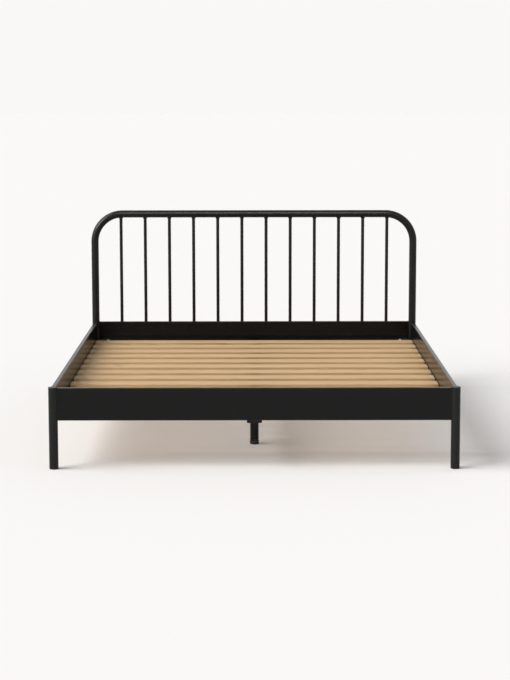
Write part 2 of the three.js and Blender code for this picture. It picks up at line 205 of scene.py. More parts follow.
TUBE_RADIUS = size("foot_post_right").x / 2
TUBE_BORE = TUBE_RADIUS - TUBE_WALL
PLUG_RADIUS = TUBE_BORE - FIT_GAP
POST_X = middle("foot_post_right").x
POST_Y = -middle("foot_post_right").y
HOOP_LEVEL = top("headboard_hoop") - TUBE_RADIUS
TUBE_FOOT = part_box("headboard_hoop")[0].z

FLAT_THICKNESS = size("side_rail_left").x
FLAT_HEIGHT = size("side_rail_left").z
FLAT_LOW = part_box("side_rail_left")[0].z
FLAT_MIDDLE = FLAT_LOW + FLAT_HEIGHT / 2
FLAT_TOP = FLAT_LOW + FLAT_HEIGHT
RAIL_FACE = POST_X - FLAT_THICKNESS / 2
PANEL_FACE = POST_Y - FLAT_THICKNESS / 2

UPRIGHTS = numbered("spindle_")
SLATS = numbered("slat_0") + numbered("slat_1")


# -------- node trees

def add(tree, kind, feeds=None, **settings):
    """Adds a node, sets its properties, and fills or joins its input sockets."""
    node = tree.nodes.new(kind)
    for name, value in settings.items():
        setattr(node, name, value)
    for socket, value in (feeds or {}).items():
        if isinstance(value, bpy.types.NodeSocket):
            tree.links.new(value, node.inputs[socket])
        else:
            node.inputs[socket].default_value = value
    return node


def calc(tree, operation, *values):
    """One Math node's result."""
    return add(tree, "ShaderNodeMath", dict(enumerate(values)), operation=operation).outputs[0]


def join(tree, x, y, z):
    return add(tree, "ShaderNodeCombineXYZ", {0: x, 1: y, 2: z}).outputs[0]


# -------- finishes

COAT_IOR = 1.26
PLASTIC_IOR = 1.42

DULL_ZINC = (0.47, 0.48, 0.50, 1)
BRIGHT_ZINC = (0.66, 0.65, 0.60, 1)

# Pine: its colours, the space from knot to knot, the rings, and how far the pith wanders
EARLY_WOOD = (0.60, 0.405, 0.205, 1)
PALE_WOOD = (0.68, 0.475, 0.255, 1)
LATE_WOOD = (0.42, 0.215, 0.075, 1)
FIBRE_LINE = (0.36, 0.20, 0.08, 1)
KNOT_COLLAR = (0.24, 0.105, 0.036, 1)
KNOT_CORE = (0.10, 0.040, 0.016, 1)
KNOT_SPACING = (0.52, 0.15, 0.26)
KNOT_LIFT = 9 * MM
RING_WIDTH = 3.6 * MM
RING_LEAN = 0.022
PITH_SWAY = 16 * MM

# The timber that the slats are cut from, and the Wave texture's own ring width at scale 1
TIMBER = (7.0, 0.16, 0.10)
WAVE_PERIOD = 0.314


def new_finish(name):
    """A material, its node tree, its shader and the object's own coordinates."""
    material = bpy.data.materials.new(name)
    material.use_nodes = True
    tree = material.node_tree
    shader = tree.nodes["Principled BSDF"]
    place = tree.nodes.new("ShaderNodeTexCoord").outputs["Object"]
    return material, tree, shader, place


def noise(tree, place, grain, detail=2.0, roughness=0.5):
    """Noise whose blotches are about `grain` metres wide."""
    feeds = {"Vector": place, "Scale": 1 / grain, "Detail": detail, "Roughness": roughness}
    return add(tree, "ShaderNodeTexNoise", feeds).outputs["Fac"]


def stretched(tree, place, x=1.0, y=1.0, z=1.0):
    """Coordinates drawn out along each axis by its factor."""
    feeds = {"Vector": place, "Scale": (1 / x, 1 / y, 1 / z)}
    return add(tree, "ShaderNodeMapping", feeds).outputs[0]


def spread(tree, value, low, high, start=0.3, end=0.7):
    """Maps a value between start and end on to low and high, without passing them."""
    feeds = {"Value": value, "From Min": start, "From Max": end, "To Min": low, "To Max": high}
    return add(tree, "ShaderNodeMapRange", feeds).outputs["Result"]


def blend(tree, factor, first, second):
    """One colour, from the first at factor 0 to the second at factor 1."""
    # A Mix node's inputs 6 and 7 and its output 2 are the ones for colour
    mix = add(tree, "ShaderNodeMix", {0: factor, 6: first, 7: second}, data_type="RGBA")
    return mix.outputs[2]


def mottled(tree, place, grain, detail, first, second):
    """A colour that wanders between two tones, in blotches about `grain` metres wide."""
    return blend(tree, spread(tree, noise(tree, place, grain, detail), 0, 1), first, second)


def bump(tree, height, depth, under=None):
    """A surface relief `depth` metres deep, over the relief below it."""
    feeds = {"Height": height, "Distance": depth, "Strength": 1.0}
    if under is not None:
        feeds["Normal"] = under
    return add(tree, "ShaderNodeBump", feeds).outputs["Normal"]


def wear(tree, shader, colour, roughness, normal):
    tree.links.new(colour, shader.inputs["Base Color"])
    tree.links.new(roughness, shader.inputs["Roughness"])
    tree.links.new(normal, shader.inputs["Normal"])


def grey(level):
    return level, level, level, 1


def warm_black(level):
    """A near-black of a given brightness, with a trace of warmth."""
    return level, 0.98 * level, 0.967 * level, 1


def powder_coat(name, dark, light, fleck):
    """Satin black powder: an orange-peel skin with a barely uneven colour and gloss."""
    material, tree, shader, place = new_finish(name)
    shader.inputs["IOR"].default_value = COAT_IOR
    colour = mottled(tree, place, 120 * MM, 3, warm_black(dark), warm_black(light))
    grit = noise(tree, place, 2.5 * MM)
    colour = blend(tree, spread(tree, grit, 0, 0.2), colour, warm_black(fleck))
    gloss = spread(tree, noise(tree, place, 40 * MM), 0.225, 0.245)
    peel = bump(tree, noise(tree, place, 2.6 * MM, 1), 0.010 * MM)
    grain = bump(tree, noise(tree, place, 0.6 * MM), 0.003 * MM, peel)
    wear(tree, shader, colour, gloss, grain)
    return material


def moulded_plastic(name, dark, light, roughness):
    """Black moulded plastic with a spark-eroded grain and faint scuffs."""
    material, tree, shader, place = new_finish(name)
    shader.inputs["IOR"].default_value = PLASTIC_IOR
    colour = mottled(tree, place, 14 * MM, 3, grey(dark), grey(light))
    scuff = noise(tree, stretched(tree, place, z=6), 1.2 * MM, 4)
    gloss = spread(tree, scuff, roughness - 0.07, roughness + 0.09)
    grain = bump(tree, noise(tree, place, 0.45 * MM), 0.03 * MM)
    wear(tree, shader, colour, gloss, grain)
    return material


def zinc_steel():
    """Bright zinc plate over steel: faintly mottled, with a fine turned grain."""
    material, tree, shader, place = new_finish("zinc_steel")
    shader.inputs["Metallic"].default_value = 1.0
    colour = mottled(tree, place, 5 * MM, 4, DULL_ZINC, BRIGHT_ZINC)
    streak = noise(tree, stretched(tree, place, z=0.12), 1.6 * MM, 3)
    gloss = spread(tree, streak, 0.24, 0.42)
    wear(tree, shader, colour, gloss, bump(tree, streak, 0.02 * MM))
    return material


def pine():
    """Planed pine: growth rings and fibres in the solid wood, with knots, new in every slat."""
    material, tree, shader, place = new_finish("slat_wood")
    plank = add(tree, "ShaderNodeAttribute", attribute_name="plank").outputs["Vector"]
    wood = add(tree, "ShaderNodeVectorMath", {0: plank, 1: TIMBER, 2: place},
               operation="MULTIPLY_ADD").outputs[0]

    # Knots: rare spots, longer along the grain, that push the rings round them
    cell = stretched(tree, wood, *KNOT_SPACING)
    knot = add(tree, "ShaderNodeTexVoronoi", {"Vector": cell, "Scale": 1.0, "Randomness": 0.9})
    away = knot.outputs["Distance"]
    swirl = spread(tree, away, KNOT_LIFT, 0, 0.02, 0.16)

    # Growth rings round a pith that wanders below the slat
    axis = add(tree, "ShaderNodeSeparateXYZ", {0: wood}).outputs
    wander = noise(tree, stretched(tree, wood, x=18), 60 * MM)
    sway = spread(tree, wander, -PITH_SWAY, PITH_SWAY, 0, 1)
    lean = calc(tree, "MULTIPLY", axis["X"], RING_LEAN)
    side = calc(tree, "ADD", axis["Y"], sway)
    depth = calc(tree, "ADD", calc(tree, "ADD", axis["Z"], lean), swirl)
    rounds = add(tree, "ShaderNodeTexWave", {
        "Vector": join(tree, 0.0, side, depth),
        "Scale": WAVE_PERIOD / RING_WIDTH,
        "Distortion": 1.1,
        "Detail": 2.0,
        "Detail Scale": 0.6,
    }, wave_type="RINGS", rings_direction="X", wave_profile="SAW").outputs["Fac"]
    late = spread(tree, rounds, 0, 1, 0.45, 0.97)

    # Colour, from the broad tones to the fibres and the knots
    fibre = noise(tree, stretched(tree, wood, x=70), 0.9 * MM, 3, 0.6)
    colour = mottled(tree, stretched(tree, wood, x=6), 50 * MM, 2, EARLY_WOOD, PALE_WOOD)
    colour = blend(tree, calc(tree, "MULTIPLY", late, 0.62), colour, LATE_WOOD)
    colour = blend(tree, spread(tree, fibre, 0, 0.30), colour, FIBRE_LINE)
    colour = blend(tree, spread(tree, away, 0.75, 0, 0.030, 0.075), colour, KNOT_COLLAR)
    colour = blend(tree, spread(tree, away, 0.85, 0, 0.020, 0.034), colour, KNOT_CORE)

    dullness = calc(tree, "ADD", fibre, calc(tree, "MULTIPLY", late, -0.2))
    gloss = spread(tree, dullness, 0.48, 0.66)
    relief = bump(tree, fibre, 0.05 * MM, bump(tree, late, 0.06 * MM))
    wear(tree, shader, colour, gloss, relief)
    return material


# One black coat drawn as two copies, as painted light and shade: the round tubes' lighter black
# stands in for light bounced on to them, and the flat tubes' deeper black is painted shade
COAT = powder_coat("powder_coat", 0.0095, 0.0130, 0.0200)
SHADED_FLAT_COAT = powder_coat("powder_coat_painted_shade", 0.0030, 0.0042, 0.0075)
CAP_PLASTIC = moulded_plastic("cap_plastic", 0.008, 0.013, 0.44)
GLIDE_PLASTIC = moulded_plastic("glide_plastic", 0.005, 0.010, 0.52)
ZINC = zinc_steel()
PINE = pine()


# -------- making pieces

# Edges folded by more degrees than this stay sharp, and points closer than this are one
CREASE_ANGLE = 32
SAME_SPOT = 0.001 * MM

ORIGIN = Vector((0, 0, 0))


def new_object(name, data):
    piece = bpy.data.objects.new(name, data)
    bpy.context.scene.collection.objects.link(piece)
    return piece


def settled(piece):
    """Turns a piece's modifiers into its plain mesh."""
    graph = bpy.context.evaluated_depsgraph_get()
    mesh = bpy.data.meshes.new_from_object(
        piece.evaluated_get(graph), preserve_all_data_layers=True, depsgraph=graph)
    piece.modifiers.clear()
    piece.data = mesh
    return piece


def smoothed(piece):
    """Shades round surfaces smooth, keeps creases sharp and leaves flat faces flat."""
    piece.data.shade_smooth()
    piece.data.set_sharp_from_angle(angle=math.radians(CREASE_ANGLE))
    flats = piece.modifiers.new("flat faces", "WEIGHTED_NORMAL")
    flats.keep_sharp = True
    return settled(piece)


def skin(name, rings, finish, closed=False):
    """
    A closed surface over rings of equally many points. A closed one joins its last ring to its
    first; an open one is shut by a face at each end, or by a point where the ring has no width.
    """
    form = bmesh.new()
    rows = [[form.verts.new(point) for point in ring] for ring in rings]
    for row, following in zip(rows, rows[1:] + rows[:1] if closed else rows[1:]):
        for i in range(len(row)):
            form.faces.new((row[i - 1], row[i], following[i], following[i - 1]))
    if not closed:
        form.faces.new(reversed(rows[0]))
        form.faces.new(rows[-1])
    bmesh.ops.remove_doubles(form, verts=form.verts, dist=SAME_SPOT)
    bmesh.ops.recalc_face_normals(form, faces=form.faces)
    mesh = bpy.data.meshes.new(name)
    form.to_mesh(mesh)
    form.free()
    mesh.materials.append(finish)
    return smoothed(new_object(name, mesh))


def fit(piece, *nodes, body="frame"):
    """The piece moves with its body and stands for its nodes, which are hidden."""
    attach(piece, body)
    if nodes:
        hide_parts(*nodes)


def eased(corners, closed=False, steps=6):
    """Outline points through (u, v, radius) corners, each rounded to its radius."""
    points = []
    last = len(corners) - 1
    for i, (u, v, radius) in enumerate(corners):
        corner = Vector((u, v))
        if radius <= 0 or (not closed and i in (0, last)):
            points.append(corner)
            continue
        back = (Vector(corners[i - 1][:2]) - corner).normalized()
        ahead = (Vector(corners[(i + 1) % len(corners)][:2]) - corner).normalized()
        half = back.angle(ahead) / 2
        centre = corner + (back + ahead).normalized() * radius / math.sin(half)
        start = corner + back * radius / math.tan(half) - centre
        end = corner + ahead * radius / math.tan(half) - centre
        sweep = math.pi - 2 * half
        for step in range(steps + 1):
            turn = sweep * step / steps
            spoke = (start * math.sin(sweep - turn) + end * math.sin(turn)) / math.sin(sweep)
            points.append(centre + spoke)
    return points


def angles(count):
    """Equal steps round a circle."""
    return [2 * math.pi * step / count for step in range(count)]


def turned(name, profile, centre, finish, closed=False, sides=TUBE_SIDES):
    """
    A body turned about the upright axis through `centre`, from (radius, height) steps. A radius
    may be a function of the angle, for hexagons, sockets, ribs and threads.
    """
    rings = []
    for radius, height in profile:
        ring = []
        for angle in angles(sides):
            reach = radius(angle) if callable(radius) else radius
            x = centre.x + reach * math.cos(angle)
            y = centre.y + reach * math.sin(angle)
            ring.append((x, y, height))
        rings.append(ring)
    return skin(name, rings, finish, closed)


def hexagon(flats):
    """The radius of a hexagon of a given width across its flats."""
    def radius(angle):
        off_flat = (angle + math.pi / 6) % (math.pi / 3) - math.pi / 6
        return flats / 2 / math.cos(off_flat)
    return radius


def cross_recess(reach, arm):
    """The radius of a cross with arms of half width `arm` that reach out to `reach`."""
    def radius(angle):
        off_arm = abs((angle + math.pi / 4) % (math.pi / 2) - math.pi / 4)
        along = reach / max(math.cos(off_arm), 1e-6)
        beside = arm / max(math.sin(off_arm), 1e-6)
        return min(along, beside)
    return radius


def flat_section(thickness, height, corner):
    """
    The outline of a flat tube, as (across, up) points, centred on the origin. Its narrow faces
    carry extra points, so that an end cut round a post follows the post.
    """
    half = thickness / 2
    up = height / 2
    flat = half - corner
    upper = [(flat - 2 * flat * i / SECTION_STEPS, up, 0) for i in range(1, SECTION_STEPS)]
    lower = [(-x, -y, 0) for x, y, _ in upper]
    right = [(half, -up, corner), (half, up, corner)]
    left = [(-half, up, corner), (-half, -up, corner)]
    return eased(right + upper + left + lower, closed=True)


def flat_tube(name, outer, wall, reach, to_place, finish):
    """
    A flat tube about the middle of its length. `outer` is (thickness, height, corner radius),
    reach(across) is how far it runs at a distance from its middle plane, and
    to_place(along, across, up) puts it in the bed.
    """
    thickness, height, corner = outer
    inner = flat_section(thickness - 2 * wall, height - 2 * wall, max(corner - wall, wall / 2))
    outline = flat_section(thickness, height, corner)
    rings = []
    for side, section in ((-1, outline), (1, outline), (1, inner), (-1, inner)):
        rings.append([to_place(side * reach(a), a, b) for a, b in section])
    return skin(name, rings, finish, closed=True)


def folded_sheet(name, line, low, high, plate, corner, to_place):
    """
    A coated plate folded along `line`, the (u, v) points of its middle, and running from low to
    high across it. Its four corners have the given radius, and its edges are slightly eased.
    """
    points = [Vector(point) for point in line]
    turns = [math.radians(15 * step) for step in range(6)]
    insets = [(corner * (1 - math.cos(turn)), corner * (1 - math.sin(turn))) for turn in turns]

    def rounded_end(end, inward):
        heading = (inward - end).normalized()
        return [(end + heading * run, inset) for run, inset in insets]

    stations = rounded_end(points[0], points[1])
    stations += [(point, 0.0) for point in points[1:-1]]
    stations += reversed(rounded_end(points[-1], points[-2]))
    rings = []
    for i, (point, inset) in enumerate(stations):
        before = stations[max(i - 1, 0)][0]
        after = stations[min(i + 1, len(stations) - 1)][0]
        heading = (after - before).normalized()
        normal = Vector((-heading.y, heading.x))
        near = low + inset
        far = high - inset
        half = plate / 2
        section = [
            (-half, near + PLATE_EDGE), (-half + PLATE_EDGE, near), (half - PLATE_EDGE, near),
            (half, near + PLATE_EDGE), (half, far - PLATE_EDGE), (half - PLATE_EDGE, far),
            (-half + PLATE_EDGE, far), (-half, far - PLATE_EDGE),
        ]
        rings.append([to_place(*(point + normal * off), across) for off, across in section])
    return skin(name, rings, COAT)


# -------- generated pieces

ROW = {"Count": "Int", "Start": "Vector", "Pitch": "Vector"}


def generator(name, sizes):
    """A Geometry Nodes tree with named inputs: the tree, its inputs and its result sockets."""
    tree = bpy.data.node_groups.new(name, "GeometryNodeTree")
    for label, kind in {"Geometry": "Geometry", **sizes, "Finish": "Material"}.items():
        tree.interface.new_socket(label, in_out="INPUT", socket_type="NodeSocket" + kind)
    tree.interface.new_socket("Geometry", in_out="OUTPUT", socket_type="NodeSocketGeometry")
    given = tree.nodes.new("NodeGroupInput").outputs
    result = tree.nodes.new("NodeGroupOutput").inputs
    return tree, given, result


def hand_out(tree, geometry, given, result):
    """Ends a tree: real meshes, in their finish."""
    real = add(tree, "GeometryNodeRealizeInstances", {"Geometry": geometry}).outputs[0]
    feeds = {"Geometry": real, "Material": given["Finish"]}
    tree.links.new(add(tree, "GeometryNodeSetMaterial", feeds).outputs[0], result["Geometry"])
    return tree


def rectangle(tree, width, height):
    feeds = {"Width": width, "Height": height}
    return add(tree, "GeometryNodeCurvePrimitiveQuadrilateral", feeds).outputs["Curve"]


def circle(tree, sides, radius):
    feeds = {"Resolution": sides, "Radius": radius}
    return add(tree, "GeometryNodeCurvePrimitiveCircle", feeds).outputs["Curve"]


def swept(tree, path, section, feeds=None):
    """A section carried along a path."""
    feeds = {"Curve": path, "Profile Curve": section, **(feeds or {})}
    return add(tree, "GeometryNodeCurveToMesh", feeds).outputs["Mesh"]


def in_a_row(tree, given, single):
    """Copies of one piece, from Start on by steps of Pitch."""
    row = add(tree, "GeometryNodeMeshLine", {
        "Count": given["Count"], "Start Location": given["Start"], "Offset": given["Pitch"]})
    feeds = {"Points": row.outputs["Mesh"], "Instance": single}
    return add(tree, "GeometryNodeInstanceOnPoints", feeds).outputs["Instances"]


def row_of(nodes):
    """The values of ROW that put copies on a row of equal nodes."""
    start = middle(nodes[0])
    pitch = (middle(nodes[-1]) - start) / (len(nodes) - 1)
    return {"Count": len(nodes), "Start": start, "Pitch": pitch}


def grown(name, tree, values, start=None):
    """The plain mesh that a tree makes of a starting mesh and its named values."""
    piece = new_object(name, start or bpy.data.meshes.new(name))
    modifier = piece.modifiers.new(tree.name, "NODES")
    modifier.node_group = tree
    for item in tree.interface.items_tree:
        if item.in_out == "INPUT" and item.name in values:
            modifier[item.identifier] = values[item.name]
    mesh = settled(piece).data
    mesh.materials.clear()
    mesh.materials.append(values["Finish"])
    mesh.polygons.foreach_set("material_index", [0] * len(mesh.polygons))
    return smoothed(piece)


def upright_row_tree():
    """A row of tubes: each is a wall's section carried round a circle."""
    tree, given, result = generator("upright row", {
        **ROW, "Radius": "Float", "Wall": "Float", "Length": "Float", "Sides": "Int"})
    half_wall = calc(tree, "MULTIPLY", given["Wall"], 0.5)
    wall_middle = calc(tree, "SUBTRACT", given["Radius"], half_wall)
    section = rectangle(tree, given["Wall"], given["Length"])
    tube = swept(tree, circle(tree, given["Sides"], wall_middle), section)
    return hand_out(tree, in_a_row(tree, given, tube), given, result)


def slat_row_tree():
    """A row of slats with rounded long edges, each with its own place in the timber."""
    tree, given, result = generator("slat row", {
        **ROW, "Length": "Float", "Width": "Float", "Thickness": "Float", "Edge": "Float",
        "Seed": "Int"})
    rounded = add(tree, "GeometryNodeFilletCurve", {
        "Curve": rectangle(tree, given["Width"], given["Thickness"]),
        "Radius": given["Edge"],
        "Count": SLAT_EDGE_STEPS,
    }, mode="POLY").outputs["Curve"]
    half = calc(tree, "MULTIPLY", given["Length"], 0.5)
    line = add(tree, "GeometryNodeCurvePrimitiveLine", {
        "Start": join(tree, calc(tree, "MULTIPLY", half, -1.0), 0.0, 0.0),
        "End": join(tree, half, 0.0, 0.0),
    }).outputs["Curve"]
    slat = swept(tree, line, rounded, {"Fill Caps": True})
    plank = add(tree, "FunctionNodeRandomValue", {"Seed": given["Seed"]}, data_type="FLOAT_VECTOR")
    marked = add(tree, "GeometryNodeStoreNamedAttribute", {
        "Geometry": in_a_row(tree, given, slat), "Name": "plank", "Value": plank.outputs["Value"],
    }, data_type="FLOAT_VECTOR", domain="INSTANCE")
    return hand_out(tree, marked.outputs["Geometry"], given, result)


def fastener_tree():
    """Copies of one fastener at points, its axis along each point's `facing`, turned at random."""
    tree, given, result = generator("fasteners", {"Fastener": "Object", "Seed": "Int"})
    facing = add(tree, "GeometryNodeInputNamedAttribute", {"Name": "facing"},
                 data_type="FLOAT_VECTOR")
    pointed = add(tree, "FunctionNodeAlignRotationToVector", {"Vector": facing.outputs[0]},
                  axis="Z")
    # Input 3 is the greatest random number, and output 1 the number
    turn = add(tree, "FunctionNodeRandomValue", {"Seed": given["Seed"], 3: 2 * math.pi},
               data_type="FLOAT")
    spin = add(tree, "FunctionNodeAxisAngleToRotation", {
        "Axis": (0, 0, 1), "Angle": turn.outputs[1]})
    rotation = add(tree, "FunctionNodeRotateRotation", {
        "Rotation": pointed.outputs[0], "Rotate By": spin.outputs[0]}, rotation_space="LOCAL")
    single = add(tree, "GeometryNodeObjectInfo", {"Object": given["Fastener"]})
    copies = add(tree, "GeometryNodeInstanceOnPoints", {
        "Points": given["Geometry"],
        "Instance": single.outputs["Geometry"],
        "Rotation": rotation.outputs[0],
    })
    return hand_out(tree, copies.outputs["Instances"], given, result)


def weld_tree():
    """Weld beads along lines: a rippled, slightly uneven bead, tapered at its free ends."""
    tree, given, result = generator("weld beads", {
        "Bead radius": "Float", "Ripple": "Float", "Unevenness": "Float", "Seed": "Int"})
    lines = add(tree, "GeometryNodeMeshToCurve", {"Mesh": given["Geometry"]})
    steps = add(tree, "GeometryNodeResampleCurve", {
        "Curve": lines.outputs["Curve"],
        "Length": calc(tree, "DIVIDE", given["Ripple"], BEAD_STEPS_PER_RIPPLE),
    }, mode="LENGTH")
    run = add(tree, "GeometryNodeSplineParameter").outputs["Length"]
    whole = add(tree, "GeometryNodeSplineLength").outputs["Length"]

    # Scallops along the bead, and slow swellings
    phase = calc(tree, "DIVIDE", calc(tree, "MULTIPLY", run, math.pi), given["Ripple"])
    wave = calc(tree, "ABSOLUTE", calc(tree, "SINE", phase))
    scallop = calc(tree, "MULTIPLY_ADD", wave, BEAD_SCALLOP, 1 - BEAD_SCALLOP)
    cloud = add(tree, "ShaderNodeTexNoise", {
        "Vector": add(tree, "GeometryNodeInputPosition").outputs[0],
        "W": given["Seed"],
        "Scale": BEAD_SWELLING_SCALE,
    }, noise_dimensions="4D").outputs["Fac"]
    swelling = calc(tree, "SUBTRACT", cloud, 0.5)
    uneven = calc(tree, "MULTIPLY_ADD", swelling, given["Unevenness"], 1.0)

    # A round taper at both ends, but none on a bead that runs round
    to_end = calc(tree, "MINIMUM", run, calc(tree, "SUBTRACT", whole, run))
    taper_length = calc(tree, "MULTIPLY", given["Bead radius"], BEAD_TAPER)
    share = calc(tree, "MAXIMUM", calc(tree, "DIVIDE", to_end, taper_length), BEAD_TIP)
    taper = calc(tree, "SQRT", calc(tree, "MINIMUM", share, 1.0))
    endless = add(tree, "GeometryNodeInputSplineCyclic").outputs[0]
    taper = calc(tree, "MAXIMUM", taper, endless)

    girth = calc(tree, "MULTIPLY", calc(tree, "MULTIPLY", scallop, uneven), taper)
    section = circle(tree, BEAD_SIDES, given["Bead radius"])
    bead = swept(tree, steps.outputs["Curve"], section, {"Scale": girth, "Fill Caps": True})
    return hand_out(tree, bead, given, result)


def wires(name, paths):
    """A mesh of bare edges along paths, each a (points, closed) pair."""
    points = []
    edges = []
    for path, closed in paths:
        first = len(points)
        points.extend(path)
        edges.extend((i, i + 1) for i in range(first, len(points) - 1))
        if closed:
            edges.append((len(points) - 1, first))
    mesh = bpy.data.meshes.new(name)
    mesh.from_pydata(points, edges, [])
    return mesh


def marks(name, places):
    """A mesh of bare points, each a (place, facing) pair."""
    mesh = bpy.data.meshes.new(name)
    mesh.from_pydata([place for place, _ in places], [], [])
    facing = mesh.attributes.new("facing", "FLOAT_VECTOR", "POINT")
    for entry, (_, direction) in zip(facing.data, places):
        entry.vector = direction
    return mesh


def fastened(name, single, places, tree, *nodes):
    """Copies of a fastener at (place, facing) pairs, as one piece."""
    values = {"Fastener": single, "Seed": len(places), "Finish": single.data.materials[0]}
    piece = grown(name, tree, values, marks(name, places))
    bpy.data.objects.remove(single)
    fit(piece, *nodes)


# -------- headboard

def hoop():
    """One tube up the left side, round a bend, across, round a bend and down."""
    across = POST_X - BEND_RADIUS
    up = HOOP_LEVEL - BEND_RADIUS
    stations = [(-POST_X, TUBE_FOOT, math.pi)]
    for side, start in ((-1, math.pi), (1, math.pi / 2)):
        for step in range(BEND_STEPS + 1):
            outward = start - step / BEND_STEPS * math.pi / 2
            x = side * across + BEND_RADIUS * math.cos(outward)
            z = up + BEND_RADIUS * math.sin(outward)
            stations.append((x, z, outward))
    stations.append((POST_X, TUBE_FOOT, 0.0))

    def ring(station, radius):
        x, z, outward = station
        points = []
        for angle in angles(TUBE_SIDES):
            out = radius * math.cos(angle)
            y = POST_Y + radius * math.sin(angle)
            points.append((x + out * math.cos(outward), y, z + out * math.sin(outward)))
        return points

    outside = [ring(station, TUBE_RADIUS) for station in stations]
    inside = [ring(station, TUBE_BORE) for station in reversed(stations)]
    fit(skin("hoop", outside + inside, COAT, closed=True), "headboard_hoop")


def uprights():
    piece = grown("uprights", upright_row_tree(), {
        **row_of(UPRIGHTS),
        "Radius": UPRIGHT_RADIUS,
        "Wall": UPRIGHT_WALL,
        "Length": size(UPRIGHTS[0]).z,
        "Sides": UPRIGHT_SIDES,
        "Finish": COAT,
    })
    fit(piece, *UPRIGHTS)


# -------- panels, posts and rails

def cut_round_post(centre, gap):
    """How far a flat tube reaches before it meets the round tube at `centre`."""
    return lambda across: centre - math.sqrt((TUBE_RADIUS + gap) ** 2 - across ** 2)


def between_posts(name, node, post, gap, to_place):
    """A flat tube whose ends are cut round the posts."""
    outer = (FLAT_THICKNESS, FLAT_HEIGHT, FLAT_CORNER)
    reach = cut_round_post(post, gap)
    # The panels and rails take the darker copy of the coat, which is painted shade
    fit(flat_tube(name, outer, FLAT_WALL, reach, to_place, SHADED_FLAT_COAT), node)


def cross_panel(name, node):
    y = middle(node).y
    between_posts(name, node, POST_X, 0, lambda a, b, c: (a, y + b, FLAT_MIDDLE + c))


def side_rail(name, node):
    x = middle(node).x
    between_posts(name, node, POST_Y, RAIL_END_GAP, lambda a, b, c: (x + b, a, FLAT_MIDDLE + c))


def foot_post(name, node):
    """An upright length of the round tube, with slightly eased ends."""
    low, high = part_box(node)
    profile = eased([
        (TUBE_BORE, low.z, TUBE_EASE), (TUBE_RADIUS, low.z, TUBE_EASE),
        (TUBE_RADIUS, high.z, TUBE_EASE), (TUBE_BORE, high.z, TUBE_EASE),
    ], closed=True, steps=3)
    fit(turned(name, profile, middle(node), COAT, closed=True), node)


def post_cap(name, node):
    """A push-in cap: a thin crowned disc over a plug."""
    low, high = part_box(node)
    brim = top("foot_post_right") + FIT_GAP
    profile = eased([
        (0, low.z, 0), (PLUG_RADIUS, low.z, 1 * MM), (PLUG_RADIUS, brim, 0.2 * MM),
        (TUBE_RADIUS, brim, 0.3 * MM), (TUBE_RADIUS, high.z - CAP_CROWN, 1.1 * MM),
        (TUBE_RADIUS * 0.6, high.z, 30 * MM), (0, high.z, 0),
    ])
    fit(turned(name, profile, middle(node), CAP_PLASTIC), node)


def floor_glide(name, node):
    """A moulded foot in a tube's floor end: a rounded, dished tread under a plug."""
    tread = TUBE_FOOT - FIT_GAP
    high = top(node)
    profile = eased([
        (0, GLIDE_DISH_DEPTH, 0), (GLIDE_DISH - 1 * MM, GLIDE_DISH_DEPTH, 0.3 * MM),
        (GLIDE_DISH, 0, 0.3 * MM), (TUBE_RADIUS - 1 * MM, 0, 2.2 * MM),
        (TUBE_RADIUS, tread * 0.6, 1.5 * MM), (TUBE_RADIUS, tread, 0.4 * MM),
        (PLUG_RADIUS, tread, 0.2 * MM), (PLUG_RADIUS, high, 1 * MM), (0, high, 0),
    ])
    fit(turned(name, profile, middle(node), GLIDE_PLASTIC), node)


# -------- folded steel

def slat_ledge(name, node, side):
    """An angle on the rail's inner face; its top flange carries the slat ends."""
    low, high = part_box(node)
    half = LEDGE_WALL / 2
    toe, near = sorted((side * low.x, side * high.x))
    line = eased([
        (toe, high.z - half, 0), (near - half, high.z - half, LEDGE_WALL), (near - half, low.z, 0),
    ])
    sheet = folded_sheet(
        name, line, low.y, high.y, LEDGE_WALL, LEDGE_CORNER, lambda u, v, w: (side * u, w, v))
    fit(sheet, node)


def corner_bracket(name, node, side, end):
    """A plate folded twice round the inside of a post, from the side rail to the cross panel."""
    low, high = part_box(node)
    face = FLAT_THICKNESS / 2 + FIT_GAP + BRACKET_PLATE / 2
    fold = BRACKET_REACH + BRACKET_PLATE / 2 * math.tan(math.pi / 8)
    line = eased([
        (face, BRACKET_TOE, 0), (face, fold, BRACKET_FOLD),
        (fold, face, BRACKET_FOLD), (BRACKET_TOE, face, 0),
    ], steps=5)
    sheet = folded_sheet(
        name, line, low.z, high.z, BRACKET_PLATE, BRACKET_CORNER,
        lambda u, v, w: (side * (POST_X - u), end * (POST_Y - v), w))
    fit(sheet, node)


def beam_saddle(name, node, end):
    """A channel that cradles the beam's end, welded to a plate on the panel."""
    low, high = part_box(node)
    half = SADDLE_PLATE / 2
    reach = high.x - half
    floor_line = low.z + half
    radius = SADDLE_FOLD - half
    line = eased([
        (-reach, high.z, 0), (-reach, floor_line, radius), (reach, floor_line, radius),
        (reach, high.z, 0),
    ], steps=8)
    channel = folded_sheet(
        name, line, low.y, high.y, SADDLE_PLATE, SADDLE_CORNER, lambda u, v, w: (u, w, v))
    back = (high.y if end > 0 else low.y) - end * half
    width = reach - 2 * half
    plate = folded_sheet(
        name + "_back", [(-width, back), (width, back)], floor_line + half, high.z,
        SADDLE_PLATE, SADDLE_BACK_CORNER, lambda u, v, w: (u, v, w))
    fit(plate)
    fit(channel, node)


# -------- bolts and screws

